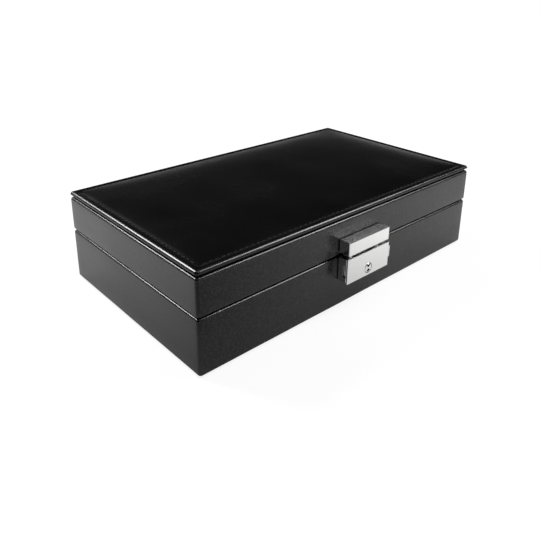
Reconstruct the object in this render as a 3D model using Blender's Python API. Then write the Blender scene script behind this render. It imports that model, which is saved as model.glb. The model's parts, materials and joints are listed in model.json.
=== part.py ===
"""A lockable jewellery box covered in black leatherette, closed, standing on its felt base.

Metres, +Z up, +X to the right along the front, -Y towards the viewer who faces the lock.
The origin is the centre of the underside.
"""

import math

import bmesh
import bpy
from mathutils import Matrix, Vector

MM = 0.001

# The box as a whole
BOX_LENGTH = 250 * MM
BOX_DEPTH = 145 * MM
RIM_HEIGHT = 36 * MM
RIM_GAP = 0.5 * MM
LID_WALL_HEIGHT = 23.3 * MM
CORNER_RADIUS = 2 * MM
FIT_GAP = 0.3 * MM
OVERRUN = 2 * MM
TINY = 0.001 * MM

# Boards and coverings
SKIN = 0.9 * MM
WALL_BOARD = 5 * MM
FLOOR_BOARD = 3 * MM
SKIN_FLAP_DROP = 4 * MM
SKIN_FLANGE = 12 * MM
RIM_ROLL_RADIUS = 1.4 * MM
FOOT_ROLL_RADIUS = 1 * MM
LINING = 1.2 * MM
LINING_SETBACK = 1.5 * MM
FELT = 0.6 * MM
FELT_INSET = 2.5 * MM
FELT_CORNER_RADIUS = 2 * MM

# Padded panel on top of the lid
PANEL_THICKNESS = 3.6 * MM
PANEL_ROLL_RADIUS = 1.6 * MM
PANEL_SKIN = 1 * MM
PANEL_BOARD = 1.4 * MM
PANEL_TURN_IN = 11 * MM
SEAM_INSET = 5.2 * MM
SEAM_DIP = 0.3 * MM
SEAM_WIDTH = 0.9 * MM
CROWN_RISE = 1.9 * MM
CROWN_REACH = 9 * MM
CROWN_STEP = 3 * MM
CROWN_STEPS = 9
FOAM = 1.4 * MM
FOAM_INSET = 8 * MM

# Mirror inside the lid
MIRROR_THICKNESS = 2 * MM
MIRROR_LENGTH = 192 * MM
MIRROR_DEPTH = 92 * MM
BEZEL_THICKNESS = 2 * MM
BEZEL_LAP = 4 * MM

# Inside the base
DIVIDER_THICKNESS = 2.4 * MM
DIVIDER_HEIGHT = 22 * MM
RING_BAY_LENGTH = 80 * MM
RING_BAY_DEPTH = 78 * MM
MIDDLE_COLUMN = 75 * MM
ROLL_COUNT = 6
ROLL_HEIGHT = 23 * MM
ROLL_SPACE = 0.5 * MM
ROLL_SHOULDER_SHARE = 0.72
ROLL_BELLY = 0.9 * MM

# Hinges at the back
HINGE_SPREAD = 140 * MM
LEAF_LENGTH = 30 * MM
LEAF_THICKNESS = 0.9 * MM
LEAF_DEPTH = 6.2 * MM
KNUCKLE_RADIUS = 2 * MM
MIDDLE_KNUCKLE = 10 * MM
PIN_RADIUS = 0.9 * MM
PIN_CLEARANCE = 0.15 * MM
PIN_OVERHANG = 0.3 * MM
LOWER_SCREW_OFFSET = 10 * MM
UPPER_SCREW_OFFSET = 5.5 * MM

# Wood screws of the hinges
SCREW_HEAD_RADIUS = 1.6 * MM
SCREW_HEAD_DEPTH = 0.7 * MM
SCREW_SHANK_RADIUS = 0.8 * MM
SCREW_LENGTH = 8 * MM
SCREW_POINT = 1.2 * MM
SCREW_CLEARANCE = 0.2 * MM

# Machine screws of the lock
BOLT_HEAD_RADIUS = 2.2 * MM
BOLT_HEAD_DEPTH = 0.9 * MM
BOLT_SHANK_RADIUS = 1 * MM
BOLT_REACH = 1.5 * MM
LOCK_SCREW_OFFSET = 8 * MM
LOCK_SCREW_HEIGHT = 28.3 * MM
CATCH_SCREW_OFFSET = 16 * MM
CATCH_SCREW_HEIGHT = 44.5 * MM

# Lock on the base, all depths counted forwards from the leather
LOCK_DEPTH = 8.6 * MM
FACE_LENGTH = 40 * MM
FACE_THICKNESS = 1.2 * MM
FACE_FOOT = 20.1 * MM
FACE_TOP = 37.1 * MM
FACE_EDGE_RADIUS = 0.3 * MM
HOUSING_LENGTH = 39 * MM
HOUSING_FOOT = 20.4 * MM
HOUSING_TOP = 36.4 * MM
HOUSING_WALL = 0.8 * MM
HOUSING_EDGE_RADIUS = 0.35 * MM
MOUTH_CLEARANCE = 0.6 * MM

# Sliding bolt, whose ends show at both sides of the lock
SLIDE_THICKNESS = 1.7 * MM
SLIDE_BACK = 4.8 * MM
SLIDE_FOOT = 24.2 * MM
SLIDE_TOP = 32.4 * MM
SLIDE_LEFT = -18.9 * MM
SLIDE_RIGHT = 24.3 * MM
SLIDE_THROW = 2.2 * MM
SLIDE_EDGE_RADIUS = 0.4 * MM
STUD_RADIUS = 0.9 * MM
STUD_LENGTH = 2 * MM
STUD_REST_GAP = 0.5 * MM
STUD_HEIGHT = 30.6 * MM

# Key plug
PLUG_RADIUS = 3.2 * MM
PLUG_CLEARANCE = 0.3 * MM
PLUG_PROUD = 0.1 * MM
PLUG_CHAMFER = 0.3 * MM
PLUG_HEIGHT = 25.2 * MM
PLUG_FLANGE_RADIUS = 3.8 * MM
PLUG_FLANGE = 0.35 * MM
KEYWAY_INNER = 0.8 * MM
KEYWAY_OUTER = 2.6 * MM
KEYWAY_HALF_ANGLE = math.radians(40)
KEYWAY_DEPTH = 1.1 * MM
CRANK_RADIUS = 0.7 * MM
CRANK_LENGTH = 1.6 * MM
CRANK_SLOT_CLEARANCE = 0.15 * MM

# Catch on the lid
CATCH_LENGTH = 38.6 * MM
CATCH_FOOT = 39.1 * MM
CATCH_TOP = 48.1 * MM
CATCH_EDGE_RADIUS = 0.4 * MM
HOOK_THICKNESS = 1.6 * MM
HOOK_BACK = 2.7 * MM
HOOK_FOOT = 28 * MM
HOOK_TOP = 42.5 * MM
HOOK_BRIDGE = 2.4 * MM
LEG_WIDTH = 2.8 * MM
LEG_MIDDLE = 12.4 * MM
NOTCH_CLEARANCE = 0.3 * MM
NOTCH_DEPTH = 1.8 * MM

# Facet counts
ROUND = 32
SMALL_ROUND = 16
CORNER_FACETS = 5
ROLL_FACETS = 4
EDGE_FACETS = 2
BAR_FACETS = 10

# Heights and faces that follow from the sizes above
WRAP_FOOT = FELT + FIT_GAP
LID_RIM = RIM_HEIGHT + RIM_GAP
LID_TOP = LID_RIM + LID_WALL_HEIGHT
PANEL_FOOT = LID_TOP + FIT_GAP
PANEL_TOP = PANEL_FOOT + PANEL_THICKNESS
FRONT_FACE = -BOX_DEPTH / 2
BACK_FACE = BOX_DEPTH / 2
BOARD_OUTSIDE = SKIN + FIT_GAP
BOARD_INSIDE = BOARD_OUTSIDE + WALL_BOARD
RIM_WIDTH = BOARD_INSIDE + FIT_GAP + SKIN
LINING_OUTSIDE = RIM_WIDTH + FIT_GAP
LINING_INSIDE = LINING_OUTSIDE + LINING
CELL_HALF_LENGTH = BOX_LENGTH / 2 - LINING_INSIDE
CELL_HALF_DEPTH = BOX_DEPTH / 2 - LINING_INSIDE
BASE_BOARD_FOOT = WRAP_FOOT + SKIN + FIT_GAP
BASE_LINING_FOOT = BASE_BOARD_FOOT + FLOOR_BOARD + FIT_GAP
CELL_FLOOR = BASE_LINING_FOOT + LINING
LID_BOARD_TOP = LID_TOP - SKIN - FIT_GAP
LID_LINING_TOP = LID_BOARD_TOP - FLOOR_BOARD - FIT_GAP
LID_CEILING = LID_LINING_TOP - LINING
HINGE_Y = BACK_FACE + KNUCKLE_RADIUS + FIT_GAP
HINGE_Z = RIM_HEIGHT + RIM_GAP / 2
SLIDE_FRONT = SLIDE_BACK + SLIDE_THICKNESS
FACE_BACK = LOCK_DEPTH - FACE_THICKNESS
PLUG_REAR = SLIDE_FRONT + FIT_GAP
CRANK_OFFSET = SLIDE_THROW / 2
CRANK_ARM = math.hypot(CRANK_OFFSET, CRANK_OFFSET)
LEG_SIDES = [(sign * LEG_MIDDLE - LEG_WIDTH / 2, sign * LEG_MIDDLE + LEG_WIDTH / 2) for sign in (-1, 1)]


def collection(name):
    """A new collection of that name in the scene."""
    made = bpy.data.collections.new(name)
    bpy.context.scene.collection.children.link(made)
    return made


def material(name, colour, roughness, metallic=0.0):
    """A Principled material of one colour."""
    made = bpy.data.materials.new(name)
    made.use_nodes = True
    shader = made.node_tree.nodes["Principled BSDF"]
    shader.inputs["Base Color"].default_value = (*colour, 1)
    shader.inputs["Roughness"].default_value = roughness
    shader.inputs["Metallic"].default_value = metallic
    return made


def empty(name, place):
    """An empty that carries the pieces of one body."""
    made = bpy.data.objects.new(name, None)
    made.location = place
    PARTS.objects.link(made)
    return made


def add(name, mesh, place, finish, carrier):
    """An object at a world place, carried by an unturned empty."""
    made = bpy.data.objects.new(name, mesh)
    PARTS.objects.link(made)
    made.parent = carrier
    made.location = Vector(place) - carrier.location
    if not mesh.materials:
        mesh.materials.append(finish)
    return made


def cutter(name, mesh, place):
    """A hidden object that only cuts others."""
    made = bpy.data.objects.new(name, mesh)
    CUTTERS.objects.link(made)
    made.location = place
    made.hide_render = True
    made.display_type = "WIRE"
    return made


def boolean(target, other, operation="DIFFERENCE"):
    """A live Boolean on the target."""
    step = target.modifiers.new(other.name, "BOOLEAN")
    step.operation = operation
    step.object = other
    step.solver = "EXACT"


def to_mesh(work, name):
    """The bmesh as a mesh, then freed."""
    mesh = bpy.data.meshes.new(name)
    work.to_mesh(mesh)
    work.free()
    return mesh


def block_bmesh(size):
    """A block centred on the origin."""
    work = bmesh.new()
    bmesh.ops.create_cube(work, size=1)
    bmesh.ops.scale(work, vec=size, verts=work.verts)
    return work


def upright(edge):
    """Whether an edge stands along Z."""
    first, last = (vert.co for vert in edge.verts)
    return (last - first).normalized().cross(Vector((0, 0, 1))).length < 0.01


def rounded(work, edges, radius, facets):
    """Rounds those edges."""
    bmesh.ops.bevel(
        work,
        geom=edges,
        offset=radius,
        offset_type="OFFSET",
        affect="EDGES",
        segments=facets,
        profile=0.5,
        clamp_overlap=True,
        material=-1,
    )


def level_edges(work, height):
    """The edges that lie at that height."""
    return [e for e in work.edges if all(math.isclose(v.co.z, height, abs_tol=TINY) for v in e.verts)]


def block_mesh(name, size, corner=0, top=0, bottom=0):
    """A block with rounded upright corners and rounded top and bottom edges."""
    work = block_bmesh(size)
    if corner:
        rounded(work, [e for e in work.edges if upright(e)], corner, CORNER_FACETS)
    if top:
        rounded(work, level_edges(work, size[2] / 2), top, ROLL_FACETS)
    if bottom:
        rounded(work, level_edges(work, -size[2] / 2), bottom, ROLL_FACETS)
    return to_mesh(work, name)


def spans(low, high):
    """The size and the centre of the block between two corners."""
    low, high = Vector(low), Vector(high)
    return high - low, (low + high) / 2


def board(name, low, high, finish, carrier, corner=0):
    """A plain board between two corners."""
    size, place = spans(low, high)
    return add(name, block_mesh(name, size, corner), place, finish, carrier)


def cut_block(target, name, low, high, corner=0):
    """Cuts the block between two corners out of the target."""
    size, place = spans(low, high)
    made = cutter(name, block_mesh(name, size, corner), place)
    boolean(target, made)
    return made


def rod_mesh(name, radius, length, axis, facets=ROUND):
    """A rod centred on the origin, along X, Y or Z."""
    work = bmesh.new()
    bmesh.ops.create_cone(
        work, cap_ends=True, segments=facets, radius1=radius, radius2=radius, depth=length
    )
    turns = {"X": Matrix.Rotation(math.pi / 2, 3, "Y"), "Y": Matrix.Rotation(math.pi / 2, 3, "X")}
    if axis in turns:
        bmesh.ops.rotate(work, verts=work.verts, matrix=turns[axis])
    mesh = to_mesh(work, name)
    mesh.shade_smooth()
    mesh.set_sharp_from_angle(angle=math.radians(35))
    return mesh


def cut_rod(target, name, radius, length, axis, place, facets=ROUND):
    """Drills a round hole."""
    boolean(target, cutter(name, rod_mesh(name, radius, length, axis, facets), place))


def turned_mesh(name, outline, facets=SMALL_ROUND):
    """A solid of revolution about Z from (radius, height) points, top to bottom."""
    work = bmesh.new()
    verts = [work.verts.new((radius, 0, height)) for radius, height in outline]
    edges = [work.edges.new(pair) for pair in zip(verts, verts[1:])]
    bmesh.ops.spin(
        work,
        geom=verts + edges,
        axis=(0, 0, 1),
        cent=(0, 0, 0),
        steps=facets,
        angle=2 * math.pi,
        use_merge=True,
    )
    bmesh.ops.remove_doubles(work, verts=work.verts, dist=TINY)
    bmesh.ops.recalc_face_normals(work, faces=work.faces)
    return to_mesh(work, name)


def build_wrap(name, rim, far, finish, carrier):
    """The leather round four walls, turned in over the rim and over the far edge.

    rim is the height of the edge that meets the other half, far the height of the other edge.
    """
    away = 1 if far > rim else -1
    height = abs(far - rim)
    top_roll = RIM_ROLL_RADIUS
    foot_roll = FOOT_ROLL_RADIUS if away < 0 else RIM_ROLL_RADIUS
    mesh = block_mesh(name, Vector((BOX_LENGTH, BOX_DEPTH, height)), CORNER_RADIUS, top_roll, foot_roll)
    wrap = add(name, mesh, (0, 0, (rim + far) / 2), finish, carrier)
    half_x, half_y = BOX_LENGTH / 2, BOX_DEPTH / 2
    flap_end = rim + away * (SKIN + SKIN_FLAP_DROP)
    bottom, top = sorted((flap_end, far - away * SKIN))
    inner_corner = CORNER_RADIUS - SKIN
    cut_block(
        wrap,
        name + "_room",
        (-half_x + SKIN, -half_y + SKIN, bottom),
        (half_x - SKIN, half_y - SKIN, top),
        inner_corner,
    )
    channel = cutter(
        name + "_channel",
        block_mesh(
            name + "_channel",
            Vector((2 * (half_x - SKIN), 2 * (half_y - SKIN), SKIN_FLAP_DROP + OVERRUN)),
            inner_corner,
        ),
        (0, 0, rim + away * (SKIN + (SKIN_FLAP_DROP + OVERRUN) / 2)),
    )
    size, place = spans(
        (-half_x + BOARD_INSIDE + FIT_GAP, -half_y + BOARD_INSIDE + FIT_GAP, rim - OVERRUN),
        (half_x - BOARD_INSIDE - FIT_GAP, half_y - BOARD_INSIDE - FIT_GAP, rim + OVERRUN),
    )
    size.z = 2 * (SKIN + SKIN_FLAP_DROP + 2 * OVERRUN)
    core = cutter(name + "_core", block_mesh(name + "_core", size), (0, 0, rim))
    boolean(channel, core)
    boolean(wrap, channel)
    size = Vector((2 * (half_x - RIM_WIDTH), 2 * (half_y - RIM_WIDTH), size.z))
    boolean(wrap, cutter(name + "_mouth", block_mesh(name + "_mouth", size), (0, 0, rim)))
    size = Vector((BOX_LENGTH - 2 * SKIN_FLANGE, BOX_DEPTH - 2 * SKIN_FLANGE, 2 * (SKIN + OVERRUN)))
    boolean(wrap, cutter(name + "_window", block_mesh(name + "_window", size), (0, 0, far)))
    return wrap


def build_walls(prefix, low, high, carrier):
    """Four wall boards: front and back run the whole length, the sides stand between them."""
    half_x, half_y = BOX_LENGTH / 2 - BOARD_OUTSIDE, BOX_DEPTH / 2 - BOARD_OUTSIDE
    inner_y = half_y - WALL_BOARD
    walls = {}
    for side, sign in (("front", -1), ("back", 1)):
        first, last = sorted((sign * half_y, sign * inner_y))
        name = f"{prefix}_{side}_board"
        walls[side] = board(name, (-half_x, first, low), (half_x, last, high), BOARD, carrier)
        trim_corners(walls[side], sign, low, high)
    for side, sign in (("left", -1), ("right", 1)):
        first, last = sorted((sign * half_x, sign * (half_x - WALL_BOARD)))
        name = f"{prefix}_{side}_board"
        reach = inner_y - FIT_GAP
        walls[side] = board(name, (first, -reach, low), (last, reach, high), BOARD, carrier)
    return walls


def trim_corners(wall, sign, low, high):
    """Takes the two outer upright corners off a long board, so that the leather bends round them."""
    cut = CORNER_RADIUS - BOARD_OUTSIDE / 2
    work = bmesh.new()
    work.from_mesh(wall.data)
    outer = [
        e for e in work.edges if upright(e) and all(v.co.y * sign > 0 for v in e.verts)
    ]
    rounded(work, outer, cut, CORNER_FACETS)
    work.to_mesh(wall.data)
    work.free()


def build_lining(name, closed, open_end, carrier):
    """A velvet tray: a sheet across the closed height and four sides to the open height."""
    half_x, half_y = BOX_LENGTH / 2 - LINING_OUTSIDE, BOX_DEPTH / 2 - LINING_OUTSIDE
    low, high = sorted((closed, open_end))
    tray = board(name, (-half_x, -half_y, low), (half_x, half_y, high), VELVET, carrier)
    away = 1 if open_end > closed else -1
    first, last = sorted((closed + away * LINING, open_end + away * OVERRUN))
    cut_block(
        tray,
        name + "_hollow",
        (-CELL_HALF_LENGTH, -CELL_HALF_DEPTH, first),
        (CELL_HALF_LENGTH, CELL_HALF_DEPTH, last),
    )
    return tray


def build_base():
    """The lower half: felt, boards, leather, lining, dividers and ring rolls."""
    half_x, half_y = BOX_LENGTH / 2, BOX_DEPTH / 2
    size, place = spans(
        (-half_x + FELT_INSET, -half_y + FELT_INSET, 0), (half_x - FELT_INSET, half_y - FELT_INSET, FELT)
    )
    add("base_felt", block_mesh("base_felt", size, FELT_CORNER_RADIUS), place, FELT_FINISH, BASE)
    walls = build_walls("base", BASE_BOARD_FOOT, RIM_HEIGHT - BOARD_OUTSIDE, BASE)
    inner_x = half_x - BOARD_INSIDE - FIT_GAP
    inner_y = half_y - BOARD_INSIDE - FIT_GAP
    board(
        "base_floor_board",
        (-inner_x, -inner_y, BASE_BOARD_FOOT),
        (inner_x, inner_y, BASE_BOARD_FOOT + FLOOR_BOARD),
        BOARD,
        BASE,
    )
    wrap = build_wrap("base_leather", RIM_HEIGHT, WRAP_FOOT, LEATHER, BASE)
    build_lining("base_lining", BASE_LINING_FOOT, RIM_HEIGHT - LINING_SETBACK, BASE)
    build_dividers()
    build_ring_rolls()
    return wrap, walls


def build_dividers():
    """Velvet-covered cards: ring bay and long cell on the left, two columns of two cells beside them."""
    foot = CELL_FLOOR + FIT_GAP
    top = foot + DIVIDER_HEIGHT
    reach = CELL_HALF_DEPTH - FIT_GAP
    last_column = 2 * (CELL_HALF_LENGTH - DIVIDER_THICKNESS) - RING_BAY_LENGTH - MIDDLE_COLUMN
    columns = [
        ("left", RING_BAY_LENGTH, -CELL_HALF_DEPTH + RING_BAY_DEPTH),
        ("middle", MIDDLE_COLUMN, -DIVIDER_THICKNESS / 2),
        ("right", last_column, -DIVIDER_THICKNESS / 2),
    ]
    start = -CELL_HALF_LENGTH
    for side, length, split in columns:
        end = start + length
        low = (start + FIT_GAP, split, foot)
        high = (end - FIT_GAP, split + DIVIDER_THICKNESS, top)
        board(f"{side}_cross_divider", low, high, VELVET, BASE)
        start = end + DIVIDER_THICKNESS
        if side != "right":
            board(f"{side}_long_divider", (end, -reach, foot), (start, reach, top), VELVET, BASE)


def build_ring_rolls():
    """Foam rolls in velvet, side by side, which hold rings between them."""
    pitch = RING_BAY_DEPTH / ROLL_COUNT
    mesh = roll_mesh("ring_roll", RING_BAY_LENGTH - 2 * FIT_GAP, pitch - ROLL_SPACE)
    middle = -CELL_HALF_LENGTH + RING_BAY_LENGTH / 2
    for number in range(ROLL_COUNT):
        y = -CELL_HALF_DEPTH + (number + 1 / 2) * pitch
        add(f"ring_roll_{number + 1}", mesh, (middle, y, CELL_FLOOR + FIT_GAP), VELVET, BASE)


def roll_mesh(name, length, width):
    """A bar along X with a flat foot and a round crown, its ends drawn in."""
    shoulder = ROLL_HEIGHT * ROLL_SHOULDER_SHARE
    outline = [(-width / 2 + ROLL_BELLY, 0), (-width / 2, shoulder / 2)]
    for step in range(BAR_FACETS + 1):
        angle = math.pi * (1 - step / BAR_FACETS)
        rise = (ROLL_HEIGHT - shoulder) * math.sin(angle)
        outline.append((width / 2 * math.cos(angle), shoulder + rise))
    outline += [(width / 2, shoulder / 2), (width / 2 - ROLL_BELLY, 0)]
    work = bmesh.new()
    verts = [work.verts.new((-length / 2, y, z)) for y, z in outline]
    face = work.faces.new(verts)
    made = bmesh.ops.extrude_face_region(work, geom=[face])
    moved = [v for v in made["geom"] if isinstance(v, bmesh.types.BMVert)]
    bmesh.ops.translate(work, verts=moved, vec=(length, 0, 0))
    bmesh.ops.recalc_face_normals(work, faces=work.faces)
    ends = [e for e in work.edges if abs(e.verts[0].co.x - e.verts[1].co.x) < TINY]
    crown = [e for e in ends if min(v.co.z for v in e.verts) > 0]
    rounded(work, crown, ROLL_BELLY, EDGE_FACETS)
    return to_mesh(work, name)


def build_lid():
    """The upper half: boards, leather, lining, mirror and the padded panel."""
    half_x, half_y = BOX_LENGTH / 2, BOX_DEPTH / 2
    walls = build_walls("lid", LID_RIM + BOARD_OUTSIDE, LID_BOARD_TOP, LID)
    inner_x = half_x - BOARD_INSIDE - FIT_GAP
    inner_y = half_y - BOARD_INSIDE - FIT_GAP
    low = LID_BOARD_TOP - FLOOR_BOARD
    board("lid_top_board", (-inner_x, -inner_y, low), (inner_x, inner_y, LID_BOARD_TOP), BOARD, LID)
    wrap = build_wrap("lid_leather", LID_RIM, LID_TOP, LEATHER, LID)
    build_lining("lid_lining", LID_LINING_TOP, LID_RIM + LINING_SETBACK, LID)
    build_mirror()
    build_panel()
    return wrap, walls


def build_mirror():
    """The mirror under the lid and the velvet frame that holds its edge."""
    top = LID_CEILING - FIT_GAP
    low = top - MIRROR_THICKNESS
    half_x, half_y = MIRROR_LENGTH / 2, MIRROR_DEPTH / 2
    board("lid_mirror", (-half_x, -half_y, low), (half_x, half_y, top), GLASS, LID)
    frame_top = low - FIT_GAP
    frame_low = frame_top - BEZEL_THICKNESS
    reach_x, reach_y = CELL_HALF_LENGTH - FIT_GAP, CELL_HALF_DEPTH - FIT_GAP
    frame = board(
        "mirror_frame", (-reach_x, -reach_y, frame_low), (reach_x, reach_y, frame_top), VELVET, LID
    )
    cut_block(
        frame,
        "mirror_frame_window",
        (-half_x + BEZEL_LAP, -half_y + BEZEL_LAP, frame_low - OVERRUN),
        (half_x - BEZEL_LAP, half_y - BEZEL_LAP, frame_top + OVERRUN),
        CORNER_RADIUS,
    )


def crown_height(inset):
    """How far the padding rises at that distance inside the seam."""
    return CROWN_RISE * (1 - math.exp(-inset / CROWN_REACH * math.e))


def build_panel():
    """The padded leather panel on the lid: cover, foam and board."""
    size = Vector((BOX_LENGTH, BOX_DEPTH, PANEL_THICKNESS))
    work = block_bmesh(size)
    half = PANEL_THICKNESS / 2
    lid = max(work.faces, key=lambda f: f.calc_center_median().z)
    inset_ring(work, lid, SEAM_INSET - SEAM_WIDTH / 2, 0)
    inset_ring(work, lid, SEAM_WIDTH / 2, -SEAM_DIP)
    inset_ring(work, lid, SEAM_WIDTH / 2, SEAM_DIP)
    before = 0
    for step in range(1, CROWN_STEPS):
        reach = CROWN_STEP * step * (step + 1) / CROWN_STEPS
        inset_ring(work, lid, reach - before, crown_height(reach) - crown_height(before))
        before = reach
    rounded(work, [e for e in work.edges if upright(e)], CORNER_RADIUS, CORNER_FACETS)
    outline = [e for e in level_edges(work, half) if on_outline(e)]
    rounded(work, outline, PANEL_ROLL_RADIUS, ROLL_FACETS)
    rounded(work, level_edges(work, -half), PANEL_ROLL_RADIUS, ROLL_FACETS)
    place = (0, 0, PANEL_FOOT + half)
    cover = add("panel_cover", to_mesh(work, "panel_cover"), place, LEATHER, LID)
    build_panel_core(cover)


def inset_ring(work, face, width, rise):
    """Draws a narrower ring inside a face and raises it."""
    bmesh.ops.inset_region(work, faces=[face], thickness=width, depth=0, use_even_offset=True)
    bmesh.ops.translate(work, verts=face.verts, vec=(0, 0, rise))


def on_outline(edge):
    """Whether an edge of the panel lies on its outer outline, straight or round."""
    x, y = (abs(n) for n in (edge.verts[0].co + edge.verts[1].co).xy / 2)
    near_x = x > BOX_LENGTH / 2 - CORNER_RADIUS
    near_y = y > BOX_DEPTH / 2 - CORNER_RADIUS
    if near_x and near_y:
        corner = Vector((BOX_LENGTH / 2 - CORNER_RADIUS, BOX_DEPTH / 2 - CORNER_RADIUS))
        return (Vector((x, y)) - corner).length > CORNER_RADIUS / 2
    return x > BOX_LENGTH / 2 - PANEL_SKIN or y > BOX_DEPTH / 2 - PANEL_SKIN


def build_panel_core(cover):
    """Hollows the cover and lays the board and the foam in it."""
    half_x, half_y = BOX_LENGTH / 2, BOX_DEPTH / 2
    low = PANEL_FOOT + PANEL_SKIN
    room = PANEL_SKIN + PANEL_ROLL_RADIUS / 2
    high = low + PANEL_BOARD + 2 * FIT_GAP
    corner = CORNER_RADIUS - PANEL_SKIN
    cut_block(
        cover,
        "panel_room",
        (-half_x + room, -half_y + room, low),
        (half_x - room, half_y - room, high),
        corner,
    )
    inset = FOAM_INSET - FIT_GAP
    cut_block(
        cover,
        "panel_foam_room",
        (-half_x + inset, -half_y + inset, low),
        (half_x - inset, half_y - inset, high + FOAM),
        corner,
    )
    turn = PANEL_TURN_IN
    cut_block(
        cover,
        "panel_window",
        (-half_x + turn, -half_y + turn, PANEL_FOOT - OVERRUN),
        (half_x - turn, half_y - turn, low + FIT_GAP),
    )
    edge = room + FIT_GAP
    first = low + FIT_GAP
    board(
        "panel_board",
        (-half_x + edge, -half_y + edge, first),
        (half_x - edge, half_y - edge, first + PANEL_BOARD),
        BOARD,
        LID,
        corner,
    )
    foot = first + PANEL_BOARD + FIT_GAP
    inset = FOAM_INSET
    board(
        "panel_foam",
        (-half_x + inset, -half_y + inset, foot),
        (half_x - inset, half_y - inset, high + FOAM - FIT_GAP),
        FOAM_FINISH,
        LID,
        corner,
    )


def leaf_mesh(name, below, knuckles):
    """A hinge leaf with its knuckles: a flat plate and necks that reach round the pin."""
    edge = -RIM_GAP / 2 if below else RIM_GAP / 2
    far = edge - LEAF_THICKNESS if below else edge + LEAF_THICKNESS
    low, high = sorted((edge, far))
    back = BACK_FACE - HINGE_Y
    size, place = spans((-LEAF_LENGTH / 2, back - LEAF_DEPTH, low), (LEAF_LENGTH / 2, back, high))
    work = block_bmesh(size)
    bmesh.ops.translate(work, verts=work.verts, vec=place)
    mesh = to_mesh(work, name)
    tools = []
    for number, (first, last) in enumerate(knuckles):
        size, place = spans((first, back - LEAF_THICKNESS, low), (last, 0, high))
        neck = cutter(f"{name}_neck_{number}", block_mesh(name + "_neck", size), place)
        middle = ((first + last) / 2, 0, 0)
        barrel = cutter(
            f"{name}_barrel_{number}", rod_mesh(name + "_barrel", KNUCKLE_RADIUS, last - first, "X"), middle
        )
        tools += [neck, barrel]
    return mesh, tools


def build_hinge(side, x, base_wrap, lid_wrap, base_wall, lid_wall):
    """One butt hinge let into the two rims: two leaves, a pin and four screws."""
    half = LEAF_LENGTH / 2
    middle = MIDDLE_KNUCKLE / 2
    pivot = Vector((x, HINGE_Y, HINGE_Z))
    outer = [(-half, -middle - FIT_GAP), (middle + FIT_GAP, half)]
    for which, carrier, knuckles, wrap, wall, offset in (
        ("lower", BASE, outer, base_wrap, base_wall, LOWER_SCREW_OFFSET),
        ("upper", LID, [(-middle, middle)], lid_wrap, lid_wall, UPPER_SCREW_OFFSET),
    ):
        below = which == "lower"
        name = f"hinge_{side}_{which}_leaf"
        mesh, tools = leaf_mesh(name, below, knuckles)
        leaf = add(name, mesh, pivot, STEEL, carrier)
        for tool in tools:
            tool.location += pivot
            boolean(leaf, tool, "UNION")
        cut_rod(leaf, name + "_bore", PIN_RADIUS + PIN_CLEARANCE, LEAF_LENGTH + OVERRUN, "X", pivot)
        recess_leaf(wrap, name, x, below)
        for number, sign in enumerate((-1, 1), 1):
            screw = f"hinge_{side}_{which}_screw_{number}"
            add_wood_screw(screw, x + sign * offset, below, leaf, wall, carrier)
    pin_length = LEAF_LENGTH + 2 * PIN_OVERHANG
    add(f"hinge_{side}_pin", rod_mesh("hinge_pin", PIN_RADIUS, pin_length, "X"), pivot, STEEL, BASE)


def recess_leaf(wrap, name, x, below):
    """Lets a leaf into the leather of its rim."""
    rim = RIM_HEIGHT if below else LID_RIM
    away = -1 if below else 1
    low, high = sorted((rim + away * (LEAF_THICKNESS + FIT_GAP), rim - away * OVERRUN))
    half = LEAF_LENGTH / 2 + FIT_GAP
    cut_block(
        wrap,
        name + "_recess",
        (x - half, BACK_FACE - LEAF_DEPTH - FIT_GAP, low),
        (x + half, BACK_FACE + OVERRUN, high),
    )


def screw_outline(extra):
    """Half outline of a countersunk screw, its head flush at height zero, grown by extra."""
    return [
        (0, extra),
        (SCREW_HEAD_RADIUS + extra, extra),
        (SCREW_HEAD_RADIUS + extra, 0),
        (SCREW_SHANK_RADIUS + extra, -SCREW_HEAD_DEPTH),
        (SCREW_SHANK_RADIUS + extra, -SCREW_LENGTH + SCREW_POINT),
        (0, -SCREW_LENGTH - extra),
    ]


def add_wood_screw(name, x, below, leaf, wall, carrier):
    """A countersunk screw through a leaf into the edge of a back board."""
    rim = RIM_HEIGHT if below else LID_RIM
    outward = 1 if below else -1
    place = Vector((x, BACK_FACE - BOARD_OUTSIDE - WALL_BOARD / 2, rim))
    outline = screw_outline(0)[2:]
    mesh = turned_mesh(name, [(0, 0), *outline])
    hole = turned_mesh(name + "_hole", screw_outline(SCREW_CLEARANCE))
    if outward < 0:
        for each in (mesh, hole):
            each.transform(Matrix.Rotation(math.pi, 4, "X"))
    add(name, mesh, place, STEEL, carrier)
    made = cutter(name + "_hole", hole, place)
    boolean(leaf, made)
    boolean(wall, made)


def machine_screw(name, x, height, tip, wrap, wall, carrier):
    """A flat-headed screw from inside the wall, forwards through board and leather to the metal."""
    back = FRONT_FACE + BOARD_INSIDE + FIT_GAP
    length = back - (FRONT_FACE - tip)
    outline = [
        (0, BOLT_HEAD_DEPTH),
        (BOLT_HEAD_RADIUS, BOLT_HEAD_DEPTH),
        (BOLT_HEAD_RADIUS, 0),
        (BOLT_SHANK_RADIUS, 0),
        (BOLT_SHANK_RADIUS, -length),
        (0, -length),
    ]
    mesh = turned_mesh(name, outline)
    mesh.transform(Matrix.Rotation(-math.pi / 2, 4, "X"))
    place = Vector((x, back, height))
    add(name, mesh, place, STEEL, carrier)
    hole = cutter(
        name + "_hole",
        rod_mesh(name + "_hole", BOLT_SHANK_RADIUS + SCREW_CLEARANCE, 2 * length, "Y", SMALL_ROUND),
        (x, back - length / 2, height),
    )
    boolean(wrap, hole)
    boolean(wall, hole)
    return hole


def from_leather(depth):
    """The Y of a depth counted forwards from the front leather."""
    return FRONT_FACE - depth


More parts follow.
